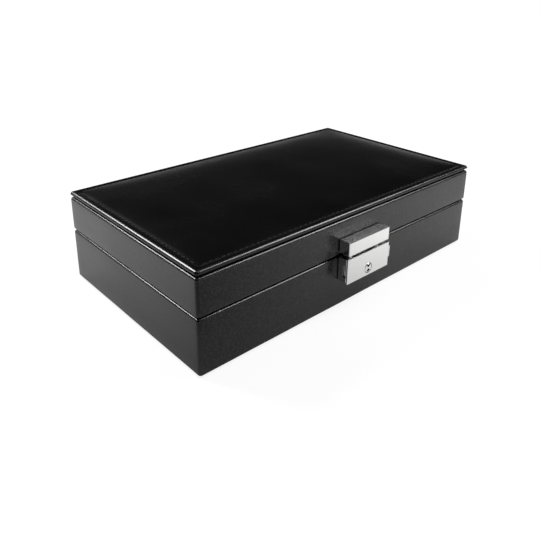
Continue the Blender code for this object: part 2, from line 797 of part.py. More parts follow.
def metal_block(name, half_length, foot, top, near, far, edge, carrier):
    """A block of lock metal with all its edges eased."""
    size, place = spans(
        (-half_length, from_leather(far), foot), (half_length, from_leather(near), top)
    )
    work = block_bmesh(size)
    rounded(work, list(work.edges), edge, EDGE_FACETS)
    return add(name, to_mesh(work, name), place, NICKEL, carrier)


def build_housing():
    """The lock's case, open to the front, with a mouth for each leg and a slot in each side."""
    half = HOUSING_LENGTH / 2
    back = FIT_GAP
    front = FACE_BACK - FIT_GAP
    housing = metal_block(
        "lock_housing", half, HOUSING_FOOT, HOUSING_TOP, back, front, HOUSING_EDGE_RADIUS, BASE
    )
    cut_block(
        housing,
        "lock_room",
        (-half + HOUSING_WALL, from_leather(front + OVERRUN), HOUSING_FOOT + HOUSING_WALL),
        (half - HOUSING_WALL, from_leather(back + HOUSING_WALL), HOUSING_TOP - HOUSING_WALL),
    )
    for number, (left, right) in enumerate(LEG_SIDES, 1):
        cut_block(
            housing,
            f"lock_mouth_{number}",
            (left - FIT_GAP, from_leather(HOOK_BACK + HOOK_THICKNESS + MOUTH_CLEARANCE), SLIDE_TOP),
            (right + FIT_GAP, from_leather(HOOK_BACK - FIT_GAP), HOUSING_TOP + OVERRUN),
        )
    cut_block(
        housing,
        "lock_side_slots",
        (-half - OVERRUN, from_leather(SLIDE_FRONT + FIT_GAP), SLIDE_FOOT - FIT_GAP),
        (half + OVERRUN, from_leather(SLIDE_BACK - FIT_GAP), SLIDE_TOP + FIT_GAP),
    )
    return housing


def build_face():
    """The bright face plate with the round hole for the key plug."""
    face = metal_block(
        "lock_face_plate",
        FACE_LENGTH / 2,
        FACE_FOOT,
        FACE_TOP,
        FACE_BACK,
        LOCK_DEPTH,
        FACE_EDGE_RADIUS,
        BASE,
    )
    place = (0, from_leather(LOCK_DEPTH), PLUG_HEIGHT)
    cut_rod(face, "plug_hole", PLUG_RADIUS + PLUG_CLEARANCE, 2 * (FACE_THICKNESS + OVERRUN), "Y", place)


def build_slide():
    """The sliding bolt, with a stud behind it for each leg and the slot that the crank drives."""
    slide = board(
        "lock_slide",
        (SLIDE_LEFT, from_leather(SLIDE_FRONT), SLIDE_FOOT),
        (SLIDE_RIGHT, from_leather(SLIDE_BACK), SLIDE_TOP),
        NICKEL,
        SLIDE,
    )
    ease_edges(slide, SLIDE_EDGE_RADIUS)
    middle_y = from_leather((SLIDE_BACK + SLIDE_FRONT) / 2)
    length = STUD_LENGTH + SLIDE_THICKNESS / 2
    for number, (_, right) in enumerate(LEG_SIDES, 1):
        stud = cutter(
            f"slide_stud_{number}",
            rod_mesh("slide_stud", STUD_RADIUS, length, "Y", SMALL_ROUND),
            (right + STUD_REST_GAP + STUD_RADIUS, middle_y + length / 2, STUD_HEIGHT),
        )
        boolean(slide, stud, "UNION")
    half = CRANK_RADIUS + CRANK_SLOT_CLEARANCE
    cut_block(
        slide,
        "crank_slot",
        (CRANK_OFFSET - half, middle_y - OVERRUN, SLIDE_FOOT - OVERRUN),
        (CRANK_OFFSET + half, middle_y + OVERRUN, PLUG_HEIGHT + CRANK_ARM + CRANK_RADIUS + FIT_GAP),
    )


def ease_edges(target, radius):
    """Rounds every edge of a block a little."""
    work = bmesh.new()
    work.from_mesh(target.data)
    rounded(work, list(work.edges), radius, EDGE_FACETS)
    work.to_mesh(target.data)
    work.free()


def keyway_mesh(name):
    """A bow-tie pocket: two wedges, above and below the centre."""
    work = bmesh.new()
    for sign in (-1, 1):
        corners = []
        for radius, angle in (
            (KEYWAY_INNER, -KEYWAY_HALF_ANGLE),
            (KEYWAY_OUTER, -KEYWAY_HALF_ANGLE),
            (KEYWAY_OUTER, 0),
            (KEYWAY_OUTER, KEYWAY_HALF_ANGLE),
            (KEYWAY_INNER, KEYWAY_HALF_ANGLE),
        ):
            x = radius * math.sin(angle)
            corners.append(work.verts.new((x, -OVERRUN, sign * radius * math.cos(angle))))
        made = bmesh.ops.extrude_face_region(work, geom=[work.faces.new(corners)])
        moved = [v for v in made["geom"] if isinstance(v, bmesh.types.BMVert)]
        bmesh.ops.translate(work, verts=moved, vec=(0, KEYWAY_DEPTH + OVERRUN, 0))
    bmesh.ops.recalc_face_normals(work, faces=work.faces)
    return to_mesh(work, name)


def build_plug():
    """The key plug with its flange and keyway, and the crank pin behind it that throws the bolt."""
    rear = PLUG_REAR - LOCK_DEPTH
    outline = [
        (0, PLUG_PROUD),
        (PLUG_RADIUS - PLUG_CHAMFER, PLUG_PROUD),
        (PLUG_RADIUS, PLUG_PROUD - PLUG_CHAMFER),
        (PLUG_RADIUS, rear + PLUG_FLANGE),
        (PLUG_FLANGE_RADIUS, rear + PLUG_FLANGE),
        (PLUG_FLANGE_RADIUS, rear),
        (0, rear),
    ]
    mesh = turned_mesh("key_plug", outline, ROUND)
    mesh.transform(Matrix.Rotation(math.pi / 2, 4, "X"))
    plug = add("key_plug", mesh, (0, from_leather(LOCK_DEPTH), PLUG_HEIGHT), NICKEL, KEY)
    face = from_leather(LOCK_DEPTH + PLUG_PROUD)
    boolean(plug, cutter("keyway", keyway_mesh("keyway"), (0, face, PLUG_HEIGHT)))
    crank = cutter(
        "crank_pin",
        rod_mesh("crank_pin", CRANK_RADIUS, CRANK_LENGTH + PLUG_FLANGE, "Y", SMALL_ROUND),
        (
            CRANK_OFFSET,
            from_leather(PLUG_REAR) + (CRANK_LENGTH - PLUG_FLANGE) / 2,
            PLUG_HEIGHT + CRANK_OFFSET,
        ),
    )
    boolean(plug, crank, "UNION")


def build_catch():
    """The catch block on the lid and the two-legged staple that drops into the lock."""
    catch = metal_block(
        "catch_block", CATCH_LENGTH / 2, CATCH_FOOT, CATCH_TOP, FIT_GAP, LOCK_DEPTH, CATCH_EDGE_RADIUS, LID
    )
    left, right = LEG_SIDES[0][0], LEG_SIDES[-1][1]
    front = from_leather(HOOK_BACK + HOOK_THICKNESS)
    back = from_leather(HOOK_BACK)
    cut_block(
        catch,
        "staple_socket",
        (left - FIT_GAP, front - FIT_GAP, CATCH_FOOT - OVERRUN),
        (right + FIT_GAP, back + FIT_GAP, HOOK_TOP + FIT_GAP),
    )
    staple = board("catch_staple", (left, front, HOOK_FOOT), (right, back, HOOK_TOP), STEEL, LID)
    inner_left, inner_right = LEG_SIDES[0][1], LEG_SIDES[-1][0]
    cut_block(
        staple,
        "staple_window",
        (inner_left, front - OVERRUN, HOOK_FOOT - OVERRUN),
        (inner_right, back + OVERRUN, HOOK_TOP - HOOK_BRIDGE),
    )
    reach = STUD_RADIUS + NOTCH_CLEARANCE
    for number, (_, leg_right) in enumerate(LEG_SIDES, 1):
        cut_block(
            staple,
            f"staple_notch_{number}",
            (leg_right - NOTCH_DEPTH, front - OVERRUN, STUD_HEIGHT - reach),
            (leg_right + OVERRUN, back + OVERRUN, STUD_HEIGHT + reach),
        )
    return catch


def build_lock(base_wrap, lid_wrap, base_wall, lid_wall):
    """Everything of the lock on both halves, with the screws that hold it."""
    housing = build_housing()
    build_face()
    build_slide()
    build_plug()
    catch = build_catch()
    for number, sign in enumerate((-1, 1), 1):
        tip = FIT_GAP + HOUSING_WALL + BOLT_REACH
        x = sign * LOCK_SCREW_OFFSET
        name = f"lock_screw_{number}"
        hole = machine_screw(name, x, LOCK_SCREW_HEIGHT, tip, base_wrap, base_wall, BASE)
        boolean(housing, hole)
        x = sign * CATCH_SCREW_OFFSET
        tip = FIT_GAP + 2 * BOLT_REACH
        hole = machine_screw(f"catch_screw_{number}", x, CATCH_SCREW_HEIGHT, tip, lid_wrap, lid_wall, LID)
        cut_rod(
            catch,
            f"catch_thread_{number}",
            BOLT_SHANK_RADIUS + SCREW_CLEARANCE,
            2 * (tip + FIT_GAP),
            "Y",
            (x, FRONT_FACE, CATCH_SCREW_HEIGHT),
            SMALL_ROUND,
        )


for old in list(bpy.data.objects):
    bpy.data.objects.remove(old)
PARTS = collection("jewellery_box")
CUTTERS = collection("cutters")
LEATHER = material("black_leatherette", (0.022, 0.022, 0.023), 0.45)
BOARD = material("fibreboard", (0.36, 0.25, 0.16), 0.85)
VELVET = material("black_velvet", (0.012, 0.012, 0.013), 0.95)
FELT_FINISH = material("black_felt", (0.015, 0.015, 0.016), 0.95)
FOAM_FINISH = material("grey_foam", (0.30, 0.30, 0.30), 0.95)
GLASS = material("mirror_glass", (0.85, 0.87, 0.88), 0.03, 1.0)
STEEL = material("plated_steel", (0.56, 0.56, 0.55), 0.35, 1.0)
NICKEL = material("satin_nickel", (0.72, 0.71, 0.69), 0.28, 1.0)
BASE = empty("base_frame", (0, 0, 0))
LID = empty("lid_axis", (0, HINGE_Y, HINGE_Z))
SLIDE = empty("slide_rest", (0, from_leather(SLIDE_FRONT), STUD_HEIGHT))
KEY = empty("key_axis", (0, from_leather(LOCK_DEPTH), PLUG_HEIGHT))
base_leather, base_walls = build_base()
lid_leather, lid_walls = build_lid()
for side_name, side_sign in (("left", -1), ("right", 1)):
    build_hinge(
        side_name,
        side_sign * HINGE_SPREAD / 2,
        base_leather,
        lid_leather,
        base_walls["back"],
        lid_walls["back"],
    )
build_lock(base_leather, lid_leather, base_walls["front"], lid_walls["front"])
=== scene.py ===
import json
import math

import bmesh
import bpy
from mathutils import Matrix, Vector, noise


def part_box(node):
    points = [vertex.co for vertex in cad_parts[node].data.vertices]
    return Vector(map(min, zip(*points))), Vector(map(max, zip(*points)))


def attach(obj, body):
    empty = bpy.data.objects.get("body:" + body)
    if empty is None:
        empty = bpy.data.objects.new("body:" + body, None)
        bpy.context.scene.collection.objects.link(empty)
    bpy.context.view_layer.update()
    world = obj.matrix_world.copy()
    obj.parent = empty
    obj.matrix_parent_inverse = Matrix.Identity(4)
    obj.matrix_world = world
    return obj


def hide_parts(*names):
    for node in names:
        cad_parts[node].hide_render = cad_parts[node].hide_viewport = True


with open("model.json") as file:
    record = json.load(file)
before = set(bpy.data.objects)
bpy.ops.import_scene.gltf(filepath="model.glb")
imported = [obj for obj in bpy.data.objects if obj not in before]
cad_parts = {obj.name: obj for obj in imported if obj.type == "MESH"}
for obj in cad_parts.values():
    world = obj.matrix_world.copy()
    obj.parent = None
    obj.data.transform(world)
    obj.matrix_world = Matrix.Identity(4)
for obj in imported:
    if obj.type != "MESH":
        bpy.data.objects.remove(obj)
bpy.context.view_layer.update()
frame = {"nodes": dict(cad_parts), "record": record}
mm = 0.001  # lengths in the dictionaries are millimetres, those of the studio metres
print("frame loaded:", len(frame["nodes"]), "CAD nodes")


# Small helpers for colours, nodes and meshes

def linearColour(hexCode):
    channels = [int(hexCode[i:i + 2], 16) / 255 for i in (1, 3, 5)]
    linear = [c / 12.92 if c <= 0.04045 else ((c + 0.055) / 1.055) ** 2.4 for c in channels]
    return (*linear, 1.0)


def addNode(tree, kind, settings=None, inputs=None):
    # A Mix node takes numbers in sockets 2 and 3, colours in 6 and 7, and its output 2 is the mixed colour
    node = tree.nodes.new(kind)
    for name, value in (settings or {}).items():
        setattr(node, name, value)
    for socket, value in (inputs or {}).items():
        if isinstance(value, bpy.types.NodeSocket):
            tree.links.new(value, node.inputs[socket])
        else:
            node.inputs[socket].default_value = value
    return node


def newMaterial(name, look):
    material = bpy.data.materials.new(name)
    material.use_nodes = True
    shader = material.node_tree.nodes["Principled BSDF"]
    for socket, value in look.items():
        shader.inputs[socket].default_value = value
    return material, material.node_tree, shader


def newObject(name, data):
    thing = bpy.data.objects.new(name, data)
    bpy.context.scene.collection.objects.link(thing)
    return thing


def meshFrom(work, name):
    mesh = bpy.data.meshes.new(name)
    work.to_mesh(mesh)
    work.free()
    return mesh


def finishMesh(work, name, material, body, sharpAngle=40):
    mesh = meshFrom(work, name)
    mesh.shade_smooth()
    mesh.set_sharp_from_angle(angle=math.radians(sharpAngle))
    mesh.materials.append(material)
    piece = newObject(name, mesh)
    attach(piece, body)
    return piece


def applyModifiers(piece):
    graph = bpy.context.evaluated_depsgraph_get()
    mesh = bpy.data.meshes.new_from_object(piece.evaluated_get(graph))
    piece.modifiers.clear()
    piece.data = mesh


def blockBetween(low, high):
    low, high = Vector(low), Vector(high)
    work = bmesh.new()
    bmesh.ops.create_cube(work, size=1)
    bmesh.ops.scale(work, vec=high - low, verts=work.verts)
    bmesh.ops.translate(work, vec=(low + high) / 2, verts=work.verts)
    return work


def roundEdges(work, edges, radius, steps):
    bmesh.ops.bevel(work, geom=edges, offset=radius, offset_type="OFFSET", affect="EDGES", segments=steps,
                    profile=0.5, clamp_overlap=True, material=-1)


slack = 0.001 * mm  # what lies within this counts as the same place
steep = 10  # an edge that rises this many times as far as it runs sideways counts as upright
level = 0.9  # a face whose normal has more than this in z counts as flat


def isUpright(edge):
    a, b = (v.co for v in edge.verts)
    return abs(a.z - b.z) > steep * (abs(a.x - b.x) + abs(a.y - b.y))


def edgesAt(work, height):
    return [e for e in work.edges if all(abs(v.co.z - height) < slack for v in e.verts)]


def faceAt(work, height, upwards):
    # The middle one of the flat faces at a height, looking up or down
    sign = 1 if upwards else -1
    flat = [f for f in work.faces if f.normal.z * sign > level]
    found = [f for f in flat if abs(f.calc_center_median().z - height) < slack]
    return min(found, key=lambda f: f.calc_center_median().xy.length)


def rollEdge(work, face, radius, steps, over=True):
    # Rolls the edge round a flat face: over the outer edge of a form, or down into a mouth
    for step in range(steps):
        a, b = (math.pi / 2 * count / steps for count in (step, step + 1))
        if over:
            inward, out = math.cos(a) - math.cos(b), math.sin(b) - math.sin(a)
        else:
            inward, out = math.sin(b) - math.sin(a), math.cos(b) - math.cos(a)
        bmesh.ops.inset_region(work, faces=[face], thickness=radius * inward, depth=radius * out,
                               use_even_offset=True)


cornerClose = dict(short=0.04, merge=0.25)


def closeCorners(work, face, radius):
    # Draws the face in until its rounded corners run out to points, so that wider insets stay clean
    bmesh.ops.inset_region(work, faces=[face], thickness=radius - cornerClose["short"] * mm,
                           use_even_offset=True)
    height, upwards = face.calc_center_median().z, face.normal.z > 0
    bmesh.ops.remove_doubles(work, verts=face.verts, dist=cornerClose["merge"] * mm)
    work.normal_update()
    return faceAt(work, height, upwards)


def uprightCorners(work, high):
    return [e for e in work.edges if isUpright(e) and abs(abs(e.verts[0].co.x) - high.x) < slack
            and abs(abs(e.verts[0].co.y) - high.y) < slack]


def turnOver(work, low, high):
    # Mirrors a form upside down between its own two heights
    bmesh.ops.scale(work, vec=(1, 1, -1), verts=work.verts)
    bmesh.ops.translate(work, vec=(0, 0, low.z + high.z), verts=work.verts)
    bmesh.ops.reverse_faces(work, faces=work.faces)


def blowUp(piece, run, seam=""):
    # Weightless cloth with air under it; the points of the group named as the seam stay where they are
    cloth = piece.modifiers.new("Cloth", "CLOTH")
    cloth.settings.vertex_group_mass = seam
    cloth.settings.use_pressure = True
    cloth.settings.uniform_pressure_force = run["pressure"]
    cloth.settings.tension_stiffness = run["stretch"]
    cloth.settings.effector_weights.gravity = 0
    cloth.point_cache.frame_start = 1
    cloth.point_cache.frame_end = run["frames"]
    for step in range(1, run["frames"] + 1):
        bpy.context.scene.frame_set(step)


# Camera: fitted to the corners and edges of the box in the photograph; degrees, pixels and millimetres

photoView = dict(focalPixels=589.6, imageSize=540, principalRow=175, yaw=41.886, pitch=19.804, roll=0.412,
                 place=(-268.5, -286.5, 206.8), nearest=10.0, filmWidth=36.0)


def makeCamera():
    yaw, pitch, roll = (math.radians(photoView[n]) for n in ("yaw", "pitch", "roll"))
    forward = Vector((math.sin(yaw) * math.cos(pitch), math.cos(yaw) * math.cos(pitch), -math.sin(pitch)))
    right = Vector((math.cos(yaw), -math.sin(yaw), 0))
    up = right.cross(forward)
    tilted = math.cos(roll) * right + math.sin(roll) * up
    camera = bpy.data.cameras.new("photoCamera")
    camera.sensor_width = photoView["filmWidth"]
    camera.lens = photoView["filmWidth"] * photoView["focalPixels"] / photoView["imageSize"]
    camera.shift_y = -(0.5 - photoView["principalRow"] / photoView["imageSize"])
    camera.clip_start = photoView["nearest"] * mm
    seat = newObject("photoCamera", camera)
    axes = Matrix((tilted, tilted.cross(forward), -forward)).transposed()
    seat.matrix_world = Matrix.Translation(Vector(photoView["place"]) * mm) @ axes.to_4x4()
    bpy.context.scene.camera = seat


makeCamera()
print("camera set")


# Materials, each named for what the real one is

# Millimetres, and the depth of a crease beside that of the grain; the real grain is about half as wide and
# wouldn't show
leatherLook = dict(grain=1.2, mottle=1.0, crease=6.0, patch=45.0, relief=0.1, creaseShare=0.5)


def makeLeatherette(name, dark, pale, grainDepth):
    # Polyurethane leather, embossed and lacquered: nearly black, its even gloss broken by grain and mottle
    material, tree, shader = newMaterial(name, {"IOR": 1.48})
    place = addNode(tree, "ShaderNodeTexCoord").outputs["Object"]
    cells = addNode(tree, "ShaderNodeTexVoronoi", {"feature": "SMOOTH_F1"},
                    {"Vector": place, "Scale": 1 / (leatherLook["grain"] * mm), "Smoothness": 0.4,
                     "Randomness": 1.0})
    creases = addNode(tree, "ShaderNodeTexNoise", None,
                      {"Vector": place, "Scale": 1 / (leatherLook["crease"] * mm), "Detail": 3.0})
    patches = addNode(tree, "ShaderNodeTexNoise", None,
                      {"Vector": place, "Scale": 1 / (leatherLook["patch"] * mm), "Detail": 2.0})
    gloss = addNode(tree, "ShaderNodeMapRange", None,
                    {"Value": patches.outputs["Fac"], "From Min": 0.3, "From Max": 0.7,
                     "To Min": 0.23, "To Max": 0.30})
    tree.links.new(gloss.outputs["Result"], shader.inputs["Roughness"])
    mottle = addNode(tree, "ShaderNodeTexNoise", None,
                     {"Vector": place, "Scale": 1 / (leatherLook["mottle"] * mm), "Detail": 2.0})
    grey = addNode(tree, "ShaderNodeMapRange", None,
                   {"Value": mottle.outputs["Fac"], "From Min": 0.42, "From Max": 0.68})
    tone = addNode(tree, "ShaderNodeMix", {"data_type": "RGBA"},
                   {0: grey.outputs["Result"], 6: linearColour(dark), 7: linearColour(pale)})
    tree.links.new(tone.outputs[2], shader.inputs["Base Color"])
    relief = addNode(tree, "ShaderNodeMath", {"operation": "MULTIPLY_ADD"},
                     {0: creases.outputs["Fac"], 1: leatherLook["creaseShare"],
                      2: cells.outputs["Distance"]})
    bump = addNode(tree, "ShaderNodeBump", None,
                   {"Height": relief.outputs["Value"], "Strength": grainDepth,
                    "Distance": leatherLook["relief"] * mm})
    tree.links.new(bump.outputs["Normal"], shader.inputs["Normal"])
    return material


# Millimetres: tufts of pile, and the patches that a hand has stroked
velvetLook = dict(pile=0.5, brushed=14.0, relief=0.12)


def makeVelvet(name, dark, light):
    # Short-pile velvet: dark facing the eye, with a pale sheen at the edges and brushed patches
    material, tree, shader = newMaterial(name, {
        "Roughness": 0.9, "Sheen Weight": 0.55, "Sheen Roughness": 0.35,
        "Sheen Tint": linearColour("#b9b9c0"), "Specular IOR Level": 0.2,
    })
    place = addNode(tree, "ShaderNodeTexCoord").outputs["Object"]
    strokes = addNode(tree, "ShaderNodeTexNoise", None,
                      {"Vector": place, "Scale": 1 / (velvetLook["brushed"] * mm), "Detail": 4.0,
                       "Distortion": 0.6})
    colour = addNode(tree, "ShaderNodeMix", {"data_type": "RGBA"},
                     {0: strokes.outputs["Fac"], 6: linearColour(dark), 7: linearColour(light)})
    tree.links.new(colour.outputs[2], shader.inputs["Base Color"])
    tufts = addNode(tree, "ShaderNodeTexNoise", None,
                    {"Vector": place, "Scale": 1 / (velvetLook["pile"] * mm), "Detail": 2.0})
    bump = addNode(tree, "ShaderNodeBump", None,
                   {"Height": tufts.outputs["Fac"], "Strength": 0.6,
                    "Distance": velvetLook["relief"] * mm})
    tree.links.new(bump.outputs["Normal"], shader.inputs["Normal"])
    return material


# Millimetres: brush lines run along the lock, and painted shade reaches this far into recesses
metalLook = dict(lineWidth=0.25, lineLength=18.0, relief=0.02, paintedShadeReach=2.0)


def makeBrushedMetal(name, colour, roughness, lineDepth, paintedShadeColour="#0c0c0c"):
    # Plated metal, brushed along its length: pale grey with a soft mirror, with painted shade that darkens
    # its colour in recesses
    material, tree, shader = newMaterial(name, {"Metallic": 1.0})
    place = addNode(tree, "ShaderNodeTexCoord").outputs["Object"]
    thin, long = 1 / (metalLook["lineWidth"] * mm), 1 / (metalLook["lineLength"] * mm)
    drawn = addNode(tree, "ShaderNodeMapping", None, {"Vector": place, "Scale": (long, thin, thin)})
    lines = addNode(tree, "ShaderNodeTexNoise", None,
                    {"Vector": drawn.outputs["Vector"], "Scale": 1.0, "Detail": 3.0})
    spread = addNode(tree, "ShaderNodeMapRange", None,
                     {"Value": lines.outputs["Fac"], "From Min": 0.3, "From Max": 0.7,
                      "To Min": roughness - 0.05, "To Max": roughness + 0.08})
    tree.links.new(spread.outputs["Result"], shader.inputs["Roughness"])
    bump = addNode(tree, "ShaderNodeBump", None,
                   {"Height": lines.outputs["Fac"], "Strength": lineDepth,
                    "Distance": metalLook["relief"] * mm})
    tree.links.new(bump.outputs["Normal"], shader.inputs["Normal"])
    # Painted shade: ambient occlusion darkens the colour towards the painted shade colour in recesses and
    # gaps
    openness = addNode(tree, "ShaderNodeAmbientOcclusion", {"samples": 8},
                       {"Distance": metalLook["paintedShadeReach"] * mm})
    unshaded = addNode(tree, "ShaderNodeMapRange", None,
                    {"Value": openness.outputs["AO"], "From Min": 0.35, "From Max": 0.75})
    tone = addNode(tree, "ShaderNodeMix", {"data_type": "RGBA"},
                   {0: unshaded.outputs["Result"], 6: linearColour(paintedShadeColour), 7: linearColour(colour)})
    tree.links.new(tone.outputs[2], shader.inputs["Base Color"])
    return material


def makeMirror():
    # Silvered float glass: a clean mirror with a faint cool tint
    return newMaterial("silvered_float_glass", {
        "Base Color": linearColour("#e6ebec"), "Metallic": 1.0, "Roughness": 0.015,
    })[0]


threadLook = dict(twist=1.2, relief=0.05)  # millimetres


def makeThread():
    # Bonded polyester thread: black and dull, with a twist
    material, tree, shader = newMaterial("bonded_polyester_thread", {
        "Base Color": linearColour("#0e0e0f"), "Roughness": 0.8,
    })
    place = addNode(tree, "ShaderNodeTexCoord").outputs["Object"]
    twist = addNode(tree, "ShaderNodeTexWave", {"bands_direction": "DIAGONAL"},
                    {"Vector": place, "Scale": 1 / (threadLook["twist"] * mm)})
    bump = addNode(tree, "ShaderNodeBump", None,
                   {"Height": twist.outputs["Fac"], "Strength": 0.5,
                    "Distance": threadLook["relief"] * mm})
    tree.links.new(bump.outputs["Normal"], shader.inputs["Normal"])
    return material


boardLook = dict(fleck=1.5)  # millimetres


def makeBoard():
    # Medium-density fibreboard, sawn: pale brown with a fine fleck
    material, tree, shader = newMaterial("medium_density_fibreboard", {"Roughness": 0.85})
    place = addNode(tree, "ShaderNodeTexCoord").outputs["Object"]
    fleck = addNode(tree, "ShaderNodeTexNoise", None,
                    {"Vector": place, "Scale": 1 / (boardLook["fleck"] * mm), "Detail": 5.0})
    colour = addNode(tree, "ShaderNodeMix", {"data_type": "RGBA"},
                     {0: fleck.outputs["Fac"], 6: linearColour("#8d6f4e"), 7: linearColour("#ad8d68")})
    tree.links.new(colour.outputs[2], shader.inputs["Base Color"])
    return material


leatherette = makeLeatherette("embossed_polyurethane_leather", "#030303", "#2c2c2d", 0.2)
panelLeather = makeLeatherette("smooth_polyurethane_leather", "#060607", "#09090a", 0.15)
velvet = makeVelvet("short_pile_velvet", "#141417", "#26262b")
feltUnder = makeVelvet("pressed_felt", "#101012", "#19191b")
# Nickel and steel get painted shade in their recesses; the slide's nickel gets only a faint painted shade
nickel = makeBrushedMetal("satin_nickel_plate", "#f0f0ef", 0.17, 0.1)
brightNickel = makeBrushedMetal("nickel_plate_faint_painted_shade", "#f0f0ef", 0.17, 0.1, "#e4e4e3")
steel = makeBrushedMetal("plated_steel", "#b9b8b4", 0.30, 0.2)
mirror = makeMirror()
thread = makeThread()
board = makeBoard()
foam = makeVelvet("polyether_foam", "#5a5a5a", "#6c6c6c")
slotMaterials = dict(black_leatherette=leatherette, fibreboard=board, black_velvet=velvet,
                     black_felt=feltUnder, grey_foam=foam, mirror_glass=mirror, plated_steel=steel,
                     satin_nickel=nickel)
for part in frame["record"]["subparts"]:
    node = frame["nodes"][part["node"]]
    node.data.materials.clear()
    node.data.materials.append(slotMaterials[part["material_slot"]])
print("materials made")


# Leather over the walls: one sheet round the box, rolled over the rim and turned in at the far edge

# Millimetres; the rim is the edge at the split line, the far edge the one at the table or the lid's top
wrapSize = dict(corner=2.0, cornerSteps=8, rimRoll=1.8, innerRoll=1.0, farRoll=1.8, rollSteps=6,
                thickness=0.9, rimWidth=7.4, flapDrop=4.9, turnIn=12.0, longestEdge=8.0, cuttingRounds=6,
                waver=0.09, waverLength=34.0, notchPlay=(0.12, 0.12, 0.04), notchReach=2.0)


def makeWrap(name, node, body, rimIsTop, notches):
    size = wrapSize
    low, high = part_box(node)
    rimZ, farZ = high.z - size["rimRoll"] * mm, low.z + size["farRoll"] * mm
    work = blockBetween((low.x, low.y, farZ), (high.x, high.y, rimZ))
    roundEdges(work, uprightCorners(work, high), size["corner"] * mm, size["cornerSteps"])
    work.normal_update()
    rim = faceAt(work, rimZ, True)
    rollEdge(work, rim, size["rimRoll"] * mm, size["rollSteps"])
    rim = closeCorners(work, rim, (size["corner"] - size["rimRoll"]) * mm)
    toMouth = size["rimWidth"] - size["corner"] - size["innerRoll"]
    bmesh.ops.inset_region(work, faces=[rim], thickness=toMouth * mm, use_even_offset=True)
    rollEdge(work, rim, size["innerRoll"] * mm, size["rollSteps"], over=False)
    bmesh.ops.inset_region(work, faces=[rim], thickness=0, depth=(size["innerRoll"] - size["flapDrop"]) * mm)
    far = faceAt(work, farZ, False)
    rollEdge(work, far, size["farRoll"] * mm, size["rollSteps"])
    far = closeCorners(work, far, (size["corner"] - size["farRoll"]) * mm)
    bmesh.ops.inset_region(work, faces=[far], thickness=(size["turnIn"] - size["corner"]) * mm,
                           use_even_offset=True)
    rim = faceAt(work, high.z - size["flapDrop"] * mm, True)
    bmesh.ops.delete(work, geom=[rim, far], context="FACES")
    for _ in range(size["cuttingRounds"]):
        long = [e for e in work.edges if e.calc_length() > size["longestEdge"] * mm]
        if long:
            bmesh.ops.subdivide_edges(work, edges=long, cuts=1, use_grid_fill=True)
    waver(work, size["waver"] * mm, size["waverLength"] * mm)
    if not rimIsTop:
        turnOver(work, low, high)
    piece = finishMesh(work, name, leatherette, body)
    skin = piece.modifiers.new("leatherThickness", "SOLIDIFY")
    skin.thickness = size["thickness"] * mm
    skin.offset = -1
    cutAway(piece, notches)
    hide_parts(node)


def waver(work, height, length):
    # Hand-glued leather is never quite flat
    work.normal_update()
    shifts = [v.normal * height * noise.noise(v.co / length) for v in work.verts]
    for vert, shift in zip(work.verts, shifts):
        vert.co += shift


def cutAway(piece, boxes):
    tools = []
    for low, high in boxes:
        tool = newObject("cutter", meshFrom(blockBetween(low, high), "cutter"))
        step = piece.modifiers.new("notch", "BOOLEAN")
        step.object = tool
        step.solver = "EXACT"
        tools.append(tool)
    applyModifiers(piece)
    for tool in tools:
        bpy.data.objects.remove(tool)


def hingeNotches(half):
    # The leaves lie flush in the rim, so the leather is cut out to their outline
    boxes = []
    margin = Vector(wrapSize["notchPlay"]) * mm
    reach = Vector((0, 0, wrapSize["notchReach"])) * mm
    thickness = wrapSize["thickness"] * mm
    for side in ("left", "right"):
        low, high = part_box(f"hinge_{side}_{half}_leaf")
        if half == "lower":
            low, high = Vector((low.x, low.y, high.z - thickness)), high + reach
        else:
            low, high = low - reach, Vector((high.x, high.y, low.z + thickness))
        boxes.append((low - margin, high + margin))
    return boxes


makeWrap("base_leather_wrap", "base_leather", "base", True, hingeNotches("lower"))
makeWrap("lid_leather_wrap", "lid_leather", "lid", False, hingeNotches("upper"))
print("leather wraps made")


# Padded lid panel: a leather cover drawn down by a stitched channel, swollen over thin foam inside it

# Millimetres; plateau is a number: the higher it is, the flatter the crown's middle
panelSize = dict(corner=2.0, cornerSteps=8, bead=1.9, beadSteps=8, underIn=1.9, underDrop=1.25, foot=0.45,
                 seam=5.2, seamCorner=1.6, channelDepth=0.2, channelWidth=1.0, borderStart=1.2,
                 borderSwell=0.12, crown=1.85, plateau=2.1, pucker=0.07, puckerReach=1.8,
                 crease=0.10, creaseLength=26.0, creaseFade=12.0, spacing=1.6,
                 rings=(2.6, 3.4, 4.2, 4.7, 5.2, 5.7, 6.2, 7.0, 8.0, 9.4, 11.4, 14.0))
clothRun = dict(cellsX=72, cellsY=40, frames=18, pressure=4.0, stretch=12, plainPowers=(8, 2))


